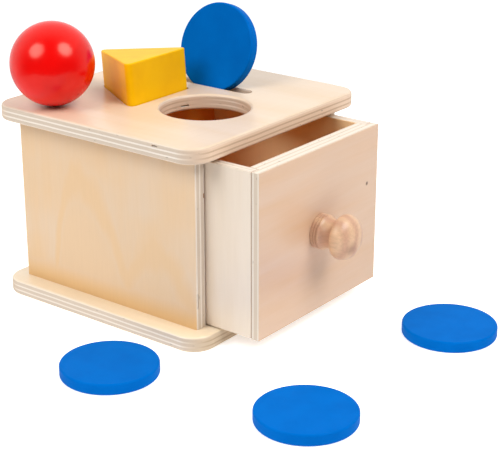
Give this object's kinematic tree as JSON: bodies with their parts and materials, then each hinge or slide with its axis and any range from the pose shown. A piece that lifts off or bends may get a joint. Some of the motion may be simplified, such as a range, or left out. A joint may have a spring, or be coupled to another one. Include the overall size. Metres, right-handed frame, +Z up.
{
  "type": "coin slot box",
  "caption": "Plywood posting toy: a box with a drawer and a turned knob, whose top has a ball hole, a prism hole and a coin slot, with its ball, prism and coins.",
  "frame": {"origin": "middle of the base plate's underside, on the surface that the box stands on", "axes": "+Z up; the drawer pulls out along -Y; +X is to the right of someone facing the drawer"},
  "size_m": [0.2084, 0.2531, 0.1547],
  "materials": {
    "birch_plywood": "clear satin lacquer over birch plywood",
    "drawer_wood": "clear satin lacquer over pale beech",
    "beech": "turned and lacquered beech",
    "red_paint": "glossy water-based paint over wood",
    "yellow_paint": "satin water-based paint over wood",
    "blue_paint": "satin water-based paint over wood",
    "zinc_steel": "bright zinc plate"
  },
  "bodies": {
    "case": {"base_panel": "birch_plywood", "top_panel": "birch_plywood", "left_side_panel": "birch_plywood", "right_side_panel": "birch_plywood", "back_panel": "birch_plywood", "top_dowel_left_front": "beech", "top_dowel_left_rear": "beech", "top_dowel_right_front": "beech", "top_dowel_right_rear": "beech", "top_dowel_back_left": "beech", "top_dowel_back_right": "beech", "base_screw_left_front": "zinc_steel", "base_screw_left_rear": "zinc_steel", "base_screw_right_front": "zinc_steel", "base_screw_right_rear": "zinc_steel", "base_screw_back_left": "zinc_steel", "base_screw_back_right": "zinc_steel"},
    "drawer": {"drawer_front": "drawer_wood", "drawer_left_side": "drawer_wood", "drawer_right_side": "drawer_wood", "drawer_back": "drawer_wood", "drawer_bottom": "birch_plywood", "drawer_bottom_screw_left": "zinc_steel", "drawer_bottom_screw_right": "zinc_steel", "drawer_knob": "beech", "knob_screw": "zinc_steel"},
    "ball": {"play_ball": "red_paint"},
    "prism": {"play_prism": "yellow_paint"},
    "slot_coin": {"coin_in_slot": "blue_paint"},
    "left_coin": {"coin_on_floor_left": "blue_paint"},
    "front_coin": {"coin_on_floor_front": "blue_paint"},
    "right_coin": {"coin_on_floor_right": "blue_paint"}
  },
  "joints": [
    {"name": "drawer_slide", "type": "slide", "parent": "case", "child": "drawer", "axis": [0, -1, 0], "range_m": [-0.0338, 0.033]},
    {"name": "ball_lift", "type": "slide", "parent": "case", "child": "ball", "axis": [0, 0, 1], "range_m": [0, 0.04]},
    {"name": "prism_lift", "type": "slide", "parent": "case", "child": "prism", "axis": [0, 0, 1], "range_m": [0, 0.04]},
    {"name": "slot_coin_lift", "type": "slide", "parent": "case", "child": "slot_coin", "axis": [0, 0, 1], "range_m": [0, 0.04]},
    {"name": "left_coin_lift", "type": "slide", "parent": "case", "child": "left_coin", "axis": [0, 0, 1], "range_m": [0, 0.03]},
    {"name": "front_coin_lift", "type": "slide", "parent": "case", "child": "front_coin", "axis": [0, 0, 1], "range_m": [0, 0.03]},
    {"name": "right_coin_lift", "type": "slide", "parent": "case", "child": "right_coin", "axis": [0, 0, 1], "range_m": [0, 0.03]}
  ]
}
